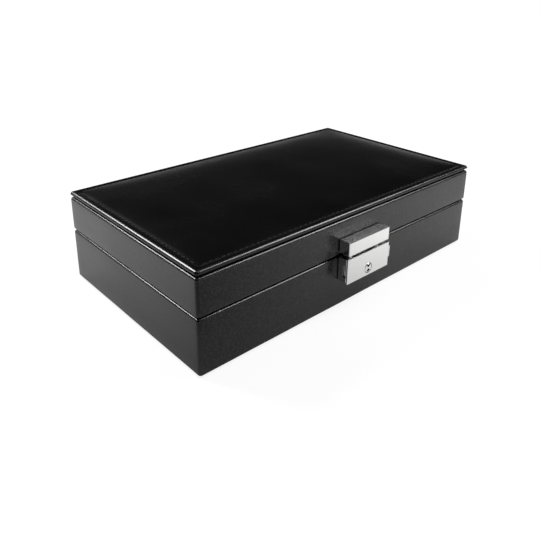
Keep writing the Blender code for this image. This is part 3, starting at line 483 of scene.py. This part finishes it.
def inflatedSheet(halfX, halfY):
    # A leather sheet held along the seam and blown up from below; gives the height at any place as 0 to 1
    columns, rows = clothRun["cellsX"], clothRun["cellsY"]
    work = bmesh.new()
    bmesh.ops.create_grid(work, x_segments=columns, y_segments=rows, size=1)
    bmesh.ops.scale(work, vec=(halfX, halfY, 1), verts=work.verts)
    mesh = meshFrom(work, "panelSheet")
    sheet = newObject("panelSheet", mesh)
    edge = sheet.vertex_groups.new(name="seam")
    onSeam = [v.index for v in mesh.vertices
              if abs(v.co.x) > halfX - slack or abs(v.co.y) > halfY - slack]
    edge.add(onSeam, 1.0, "REPLACE")
    blowUp(sheet, clothRun, seam="seam")
    graph = bpy.context.evaluated_depsgraph_get()
    swollen = sheet.evaluated_get(graph).to_mesh()
    heights = {}
    for plain, moved in zip(mesh.vertices, swollen.vertices):
        x, y = plain.co.x / halfX, plain.co.y / halfY
        cell = round((x + 1) / 2 * columns), round((y + 1) / 2 * rows)
        heights[cell] = abs(moved.co.z)
    bpy.data.objects.remove(sheet)
    bpy.context.scene.frame_set(1)
    tallest = max(heights.values()) or 1.0
    print("  inflated sheet, tallest point before scaling:", round(tallest / mm, 2), "mm")

    def heightAt(x, y):
        u = min(max((x / halfX + 1) / 2 * columns, 0), columns)
        v = min(max((y / halfY + 1) / 2 * rows, 0), rows)
        c, r = min(int(u), columns - 1), min(int(v), rows - 1)
        fu, fv = u - c, v - r
        low = heights[c, r] * (1 - fu) + heights[c + 1, r] * fu
        high = heights[c, r + 1] * (1 - fu) + heights[c + 1, r + 1] * fu
        return (low * (1 - fv) + high * fv) / tallest

    return heightAt


def insideEdge(x, y, half):
    # Distance in from the panel's outline in millimetres, measured round the seam's rounded corners
    size = panelSize
    across, along = (half.x - abs(x)) / mm, (half.y - abs(y)) / mm
    reach = size["seam"] + size["seamCorner"]
    if across > reach and along > reach:
        return min(across, along)
    return reach - math.hypot(max(reach - across, 0), max(reach - along, 0))


def panelRelief(x, y, half, heightAt):
    # How far the cover rises over its border: swell, crown, creases, the stitched channel and its puckers
    size = panelSize
    inside = insideEdge(x, y, half)
    fromSeam = inside - size["seam"]
    if fromSeam < 0:
        share = max(inside - size["borderStart"], 0) / (size["seam"] - size["borderStart"])
        lift = size["borderSwell"] * math.sin(math.pi * min(share, 1))
    else:
        lift = size["crown"] * math.tanh(size["plateau"] * heightAt(x, y))
        crease = noise.noise(Vector((x, y, 0)) / (size["creaseLength"] * mm))
        lift += size["crease"] * crease * min(fromSeam / size["creaseFade"], 1)
    lift -= size["channelDepth"] * math.exp(-(fromSeam / size["channelWidth"]) ** 2)
    alongSeam = (x if half.x - abs(x) > half.y - abs(y) else y) / mm
    drawn = 0.5 + 0.5 * math.cos(2 * math.pi * alongSeam / stitchSize["pitch"])
    lift -= size["pucker"] * drawn * math.exp(-(fromSeam / size["puckerReach"]) ** 2)
    return lift * mm


# Millimetres and degrees
stitchSize = dict(pitch=4.0, length=3.1, radius=0.24, proud=0.02, slant=7.0, sides=8, rings=6)


def makePanel():
    size = panelSize
    low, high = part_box("panel_cover")
    top = high.z - (size["crown"] + size["crease"] / 2) * mm
    half = Vector((high.x, high.y))
    bead, foot, underDrop = (size[n] * mm for n in ("bead", "foot", "underDrop"))
    work = blockBetween((low.x, low.y, low.z + foot + underDrop), (high.x, high.y, top - bead))
    roundEdges(work, uprightCorners(work, high), size["corner"] * mm, size["cornerSteps"])
    work.normal_update()
    # Folded back under the bead to a narrower foot, so that a dark line stays between the panel and the lid
    below = faceAt(work, low.z + foot + underDrop, False)
    bmesh.ops.inset_region(work, faces=[below], thickness=size["underIn"] * mm, depth=underDrop,
                           use_even_offset=True)
    below = closeCorners(work, below, (size["corner"] - size["underIn"]) * mm)
    bmesh.ops.inset_region(work, faces=[below], thickness=0, depth=foot)
    face = faceAt(work, top - bead, True)
    rollEdge(work, face, bead, size["beadSteps"])
    face = closeCorners(work, face, size["corner"] * mm - bead)
    before = size["corner"]
    for ring in size["rings"]:
        bmesh.ops.inset_region(work, faces=[face], thickness=(ring - before) * mm, use_even_offset=True)
        before = ring
    for axis in (0, 1):
        run = [e for e in work.edges if abs(e.verts[0].co[axis] - e.verts[1].co[axis]) > half[axis]]
        cuts = int((high[axis] - low[axis]) / (size["spacing"] * mm))
        bmesh.ops.subdivide_edges(work, edges=run, cuts=cuts, use_grid_fill=True)
    heightAt = inflatedSheet(high.x - size["seam"] * mm, high.y - size["seam"] * mm)
    for vert in work.verts:
        if abs(vert.co.z - top) < slack:
            vert.co.z += panelRelief(vert.co.x, vert.co.y, half, heightAt)
    panel = finishMesh(work, "padded_leather_panel", panelLeather, "lid", sharpAngle=60)
    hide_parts("panel_cover")
    makeStitches(half, top)


def seamPlaces(half):
    # Places and directions of the stitches along the seam's four straight runs
    inset = panelSize["seam"] * mm
    reach = half - Vector((inset, inset))
    places = []
    for axis, other in ((0, 1), (1, 0)):
        count = int(2 * (reach[axis] - panelSize["seamCorner"] * mm) / (stitchSize["pitch"] * mm))
        for number in range(count):
            along = (number - (count - 1) / 2) * stitchSize["pitch"] * mm
            for side in (-1, 1):
                place = [0, 0]
                place[axis], place[other] = along, side * reach[other]
                places.append((place, axis))
    return places


def makeStitches(half, top):
    size = stitchSize
    z = top + (size["proud"] - panelSize["channelDepth"]) * mm
    thin = size["radius"] * mm
    shape = Matrix.Diagonal((size["length"] / 2 * mm, thin, thin, 1))
    work = bmesh.new()
    for place, axis in seamPlaces(half):
        turn = Matrix.Rotation(math.radians(size["slant"] + 90 * axis), 4, "Z")
        bmesh.ops.create_uvsphere(work, u_segments=size["sides"], v_segments=size["rings"], radius=1,
                                  matrix=Matrix.Translation((*place, z)) @ turn @ shape)
    stitches = finishMesh(work, "panel_stitches", thread, "lid", sharpAngle=90)


foamSize = dict(skive=9.0, edgeDrop=0.85, topDrop=0.1)


def makeFoam():
    # The sheet under the cover, its edges skived thin so that the leather meets the seam without a step
    low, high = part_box("panel_foam")
    top = high.z - (foamSize["edgeDrop"] + foamSize["topDrop"]) * mm
    work = blockBetween(low, (high.x, high.y, top))
    face = faceAt(work, top, True)
    bmesh.ops.inset_region(work, faces=[face], thickness=foamSize["skive"] * mm,
                           depth=foamSize["edgeDrop"] * mm, use_even_offset=True)
    sheet = finishMesh(work, "panel_foam_sheet", foam, "lid", sharpAngle=60)
    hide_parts("panel_foam")


makePanel()
makeFoam()
print("padded panel and stitches made")


# Velvet linings, divider cards and the mirror frame

liningSize = dict(sheet=1.2, innerCorner=2.2, cornerSteps=6, floorEdge=1.2, floorSteps=4, rimEdge=0.4,
                  rimSteps=3)


def makeTray(name, node, body, opensUp):
    size = liningSize
    low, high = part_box(node)
    work = blockBetween(low, high)
    top = faceAt(work, high.z, True)
    bmesh.ops.inset_region(work, faces=[top], thickness=size["sheet"] * mm, use_even_offset=True)
    pushed = bmesh.ops.extrude_face_region(work, geom=[top])
    floorVerts = [v for v in pushed["geom"] if isinstance(v, bmesh.types.BMVert)]
    depth = high.z - low.z - size["sheet"] * mm
    bmesh.ops.translate(work, verts=floorVerts, vec=(0, 0, -depth))
    bmesh.ops.delete(work, geom=[top], context="FACES_ONLY")
    work.normal_update()
    inner = [e for e in work.edges if isUpright(e) and abs(e.verts[0].co.x) < high.x - size["sheet"] * mm / 2]
    roundEdges(work, inner, size["innerCorner"] * mm, size["cornerSteps"])
    roundEdges(work, edgesAt(work, high.z - depth), size["floorEdge"] * mm, size["floorSteps"])
    roundEdges(work, edgesAt(work, high.z), size["rimEdge"] * mm, size["rimSteps"])
    if not opensUp:
        turnOver(work, low, high)
    bmesh.ops.recalc_face_normals(work, faces=work.faces)
    tray = finishMesh(work, name, velvet, body)
    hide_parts(node)


dividerSize = dict(edge=1.0, edgeSteps=5)


def makeDividers():
    for node in sorted(n for n in frame["nodes"] if n.endswith("_divider")):
        low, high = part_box(node)
        work = blockBetween(low, high)
        upper = [e for e in work.edges if max(v.co.z for v in e.verts) > high.z - slack]
        roundEdges(work, upper, dividerSize["edge"] * mm, dividerSize["edgeSteps"])
        bmesh.ops.recalc_face_normals(work, faces=work.faces)
        card = finishMesh(work, "velvet_" + node, velvet, "base")
        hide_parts(node)


frameSize = dict(lap=4.0, corner=3.0, cornerSteps=6, edge=0.7, edgeSteps=4)


def makeMirrorFrame():
    low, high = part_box("mirror_frame")
    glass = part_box("lid_mirror")[1]
    work = blockBetween(low, high)
    width = high.x - glass.x + frameSize["lap"] * mm
    faces = [faceAt(work, high.z, True), faceAt(work, low.z, False)]
    for face in faces:
        bmesh.ops.inset_region(work, faces=[face], thickness=width, use_even_offset=True)
    loops = [e for face in faces for e in face.edges]
    bmesh.ops.delete(work, geom=faces, context="FACES_ONLY")
    bmesh.ops.bridge_loops(work, edges=loops)
    inner = [e for e in work.edges if isUpright(e) and abs(e.verts[0].co.x) < high.x - width / 2]
    roundEdges(work, inner, frameSize["corner"] * mm, frameSize["cornerSteps"])
    soft = [e for e in edgesAt(work, low.z) if all(abs(v.co.x) < high.x - width / 2
            and abs(v.co.y) < high.y - width / 2 for v in e.verts)]
    roundEdges(work, soft, frameSize["edge"] * mm, frameSize["edgeSteps"])
    bmesh.ops.recalc_face_normals(work, faces=work.faces)
    border = finishMesh(work, "velvet_mirror_frame", velvet, "lid")
    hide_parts("mirror_frame")


makeTray("velvet_base_lining", "base_lining", "base", True)
makeTray("velvet_lid_lining", "lid_lining", "lid", False)
makeDividers()
makeMirrorFrame()
print("velvet inside made")


# Ring rolls: foam bars in velvet, blown up a little so that the cloth is tight and the ends draw in

rollSize = dict(shrink=1.2, crownRound=4.2, crownSteps=6, voxel=1.8, frames=14, pressure=4.0, stretch=15,
                reach=1.4, smoothing=0.5)


def makeRolls():
    size = rollSize
    nodes = sorted(n for n in frame["nodes"] if n.startswith("ring_roll_"))
    low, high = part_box(nodes[0])
    shrink = Vector((size["shrink"],) * 3) * mm
    work = blockBetween(low + shrink, high - shrink)
    upper = [e for e in work.edges if max(v.co.z for v in e.verts) > high.z - 2 * shrink.z]
    crown = [e for e in upper if abs(e.verts[0].co.x - e.verts[1].co.x) > shrink.x]
    roundEdges(work, crown, size["crownRound"] * mm, size["crownSteps"])
    roll = newObject("rollShape", meshFrom(work, "rollShape"))
    grid = roll.modifiers.new("Remesh", "REMESH")
    grid.mode = "VOXEL"
    grid.voxel_size = size["voxel"] * mm
    applyModifiers(roll)
    blowUp(roll, size)
    rest = [v.co.copy() for v in roll.data.vertices]
    applyModifiers(roll)
    for vert, was in zip(roll.data.vertices, rest):
        moved = vert.co - was
        vert.co = was + moved * min(1, size["reach"] * mm / max(moved.length, slack))
    bpy.context.scene.frame_set(1)
    for vert in roll.data.vertices:
        vert.co = [min(max(c, l), h) for c, l, h in zip(vert.co, low, high)]
    for node in nodes:
        shift = (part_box(node)[0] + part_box(node)[1]) / 2 - (low + high) / 2
        work = bmesh.new()
        work.from_mesh(roll.data)
        bmesh.ops.translate(work, verts=work.verts, vec=shift)
        bmesh.ops.smooth_vert(work, verts=work.verts, factor=size["smoothing"], use_axis_x=True,
                              use_axis_y=True, use_axis_z=True)
        bar = finishMesh(work, "velvet_" + node, velvet, "base", sharpAngle=180)
        finer = bar.modifiers.new("Subdivision", "SUBSURF")
        finer.levels = finer.render_levels = 1
        applyModifiers(bar)
        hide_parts(node)
    bpy.data.objects.remove(roll)


makeRolls()
print("ring rolls made")


# Felt under the base

feltSize = dict(corner=2.0, cornerSteps=6)


def makeFelt():
    low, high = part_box("base_felt")
    work = blockBetween(low, high)
    roundEdges(work, uprightCorners(work, high), feltSize["corner"] * mm, feltSize["cornerSteps"])
    felt = finishMesh(work, "pressed_felt_pad", feltUnder, "base")
    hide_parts("base_felt")


makeFelt()
print("felt made")


# Lock slide: the strip with the upright corners of its two ends rounded off, as thumbs wear them

slideSize = dict(endRadius=0.75, endSteps=6, flatAngle=1.0)


def makeSlide():
    low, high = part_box("lock_slide")
    work = bmesh.new()
    work.from_mesh(frame["nodes"]["lock_slide"].data)
    bmesh.ops.remove_doubles(work, verts=work.verts, dist=slack)
    bmesh.ops.dissolve_limit(work, angle_limit=math.radians(slideSize["flatAngle"]), verts=work.verts,
                             edges=work.edges)
    upright = [e for e in work.edges if isUpright(e)]
    ends = [e for e in upright if min(abs(e.verts[0].co.x - x) for x in (low.x, high.x)) < 10 * slack]
    roundEdges(work, ends, slideSize["endRadius"] * mm, slideSize["endSteps"])
    slide = finishMesh(work, "rounded_lock_slide", brightNickel, "slide", sharpAngle=30)
    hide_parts("lock_slide")


makeSlide()
print("lock slide made")


# Studio: white paper under the box, with painted shade: it mirrors darker towards the camera and close to the
# box, and looks slightly grey near the box; and softboxes; metres and watts

studio = dict(floorReach=6.0, floorDrop=0.0002, floorTone=0.16, shade=0.12, paper=0.9,
              shadePlace=(-0.24, -0.36), shadeReach=(0.22, 0.42), contactShadow=0.12, paperNear=0.86,
              paperFar=1.0, paperReach=(0.25, 1.2), skyHeight=0.31, skyFall=3.0)


def makeStudio():
    work = bmesh.new()
    bmesh.ops.create_circle(work, cap_ends=True, segments=96, radius=studio["floorReach"])
    mesh = meshFrom(work, "studioFloor")
    floor = newObject("studioFloor", mesh)
    floor.location.z = -studio["floorDrop"]
    material = bpy.data.materials.new("white_paper_sweep")
    material.use_nodes = True
    tree = material.node_tree
    tree.nodes.clear()
    path = addNode(tree, "ShaderNodeLightPath")
    mirrored = addNode(tree, "ShaderNodeMath", {"operation": "MAXIMUM"},
                       {0: path.outputs["Is Glossy Ray"], 1: path.outputs["Is Transmission Ray"]})
    seen = addNode(tree, "ShaderNodeMath", {"operation": "MAXIMUM"},
                   {0: mirrored.outputs["Value"], 1: path.outputs["Is Camera Ray"]})
    place = addNode(tree, "ShaderNodeTexCoord").outputs["Object"]
    fromShade = addNode(tree, "ShaderNodeVectorMath", {"operation": "DISTANCE"},
                        {0: place, 1: (*studio["shadePlace"], 0)})
    # Painted shade: the paper mirrors darker in a patch towards the camera
    inShade = addNode(tree, "ShaderNodeMapRange", {"interpolation_type": "SMOOTHSTEP"},
                      {"Value": fromShade.outputs["Value"], "From Min": studio["shadeReach"][0],
                       "From Max": studio["shadeReach"][1], "To Min": studio["shade"],
                       "To Max": studio["paper"]})
    fromBox = addNode(tree, "ShaderNodeVectorMath", {"operation": "LENGTH"}, {0: place})
    # Painted shade: to the camera the paper is a little grey near the box
    paper = addNode(tree, "ShaderNodeMapRange", {"interpolation_type": "SMOOTHSTEP"},
                    {"Value": fromBox.outputs["Value"], "From Min": studio["paperReach"][0],
                     "From Max": studio["paperReach"][1], "To Min": studio["paperNear"],
                     "To Max": studio["paperFar"]})
    # Painted contact shadow: occlusion darkens the mirrored paper near the box
    contactShadow = addNode(tree, "ShaderNodeAmbientOcclusion", {"samples": 8}, {"Distance": studio["contactShadow"]})
    dimmed = addNode(tree, "ShaderNodeMath", {"operation": "MULTIPLY"},
                     {0: inShade.outputs["Result"], 1: contactShadow.outputs["AO"]})
    strength = addNode(tree, "ShaderNodeMix", {"data_type": "FLOAT"},
                       {0: path.outputs["Is Camera Ray"], 2: dimmed.outputs["Value"],
                        3: paper.outputs["Result"]})
    glow = addNode(tree, "ShaderNodeEmission", None,
                   {"Color": linearColour("#ffffff"), "Strength": strength.outputs["Result"]})
    none = addNode(tree, "ShaderNodeEmission", None, {"Strength": 0.0})
    lit = addNode(tree, "ShaderNodeMixShader", None,
                  {0: seen.outputs["Value"], 1: none.outputs["Emission"], 2: glow.outputs["Emission"]})
    matt = addNode(tree, "ShaderNodeBsdfDiffuse", None, {"Color": (*[studio["floorTone"]] * 3, 1)})
    both = addNode(tree, "ShaderNodeAddShader", None, {0: matt.outputs["BSDF"], 1: lit.outputs["Shader"]})
    addNode(tree, "ShaderNodeOutputMaterial", None, {"Surface": both.outputs["Shader"]})
    mesh.materials.append(material)


def makeWorld():
    # White to the camera; everything else sees a pale horizon that fades to a dark ceiling
    world = bpy.data.worlds.new("studioWorld")
    bpy.context.scene.world = world
    world.use_nodes = True
    tree = world.node_tree
    tree.nodes.clear()
    path = addNode(tree, "ShaderNodeLightPath")
    direction = addNode(tree, "ShaderNodeTexCoord")
    parts = addNode(tree, "ShaderNodeSeparateXYZ", None, {"Vector": direction.outputs["Generated"]})
    low = addNode(tree, "ShaderNodeMapRange", None,
                  {"Value": parts.outputs["Z"], "From Min": 0.0, "From Max": studio["skyHeight"],
                   "To Min": 1.0, "To Max": 0.0})
    sky = addNode(tree, "ShaderNodeMath", {"operation": "POWER"},
                  {0: low.outputs["Result"], 1: studio["skyFall"]})
    white = addNode(tree, "ShaderNodeBackground", None, {"Color": linearColour("#ffffff"), "Strength": 1.0})
    soft = addNode(tree, "ShaderNodeBackground", None,
                   {"Color": linearColour("#ffffff"), "Strength": sky.outputs["Value"]})
    choice = addNode(tree, "ShaderNodeMixShader", None,
                     {0: path.outputs["Is Camera Ray"], 1: soft.outputs["Background"],
                      2: white.outputs["Background"]})
    addNode(tree, "ShaderNodeOutputWorld", None, {"Surface": choice.outputs["Shader"]})


lamps = dict(
    overheadSoftbox=dict(place=(0.0, -0.1, 1.3), aim=(0, 0, 0), size=(1.0, 0.9), power=3.5),
    leftBackSoftbox=dict(place=(-0.42, 0.86, 0.84), aim=(0, 0, 0.03), size=(0.45, 0.5), power=18),
    rightFrontSoftbox=dict(place=(0.78, -0.50, 0.94), aim=(0, 0, 0.03), size=(0.5, 0.5), power=13),
    rightFrontCard=dict(place=(0.8, -0.95, 0.62), aim=(0, 0, 0.03), size=(1.0, 0.4), power=0.8),
)


def makeLamps():
    for name, lamp in lamps.items():
        light = bpy.data.lights.new(name, "AREA")
        light.shape = "RECTANGLE"
        light.size, light.size_y = lamp["size"]
        light.energy = lamp["power"]
        seat = newObject(name, light)
        seat.location = lamp["place"]
        seat.visible_camera = False
        aim = Vector(lamp["aim"]) - Vector(lamp["place"])
        seat.rotation_mode = "QUATERNION"
        seat.rotation_quaternion = aim.to_track_quat("-Z", "Y")


makeStudio()
makeWorld()
makeLamps()
bpy.context.scene.view_settings.view_transform = "Standard"
print("studio lit")

bpy.context.view_layer.update()
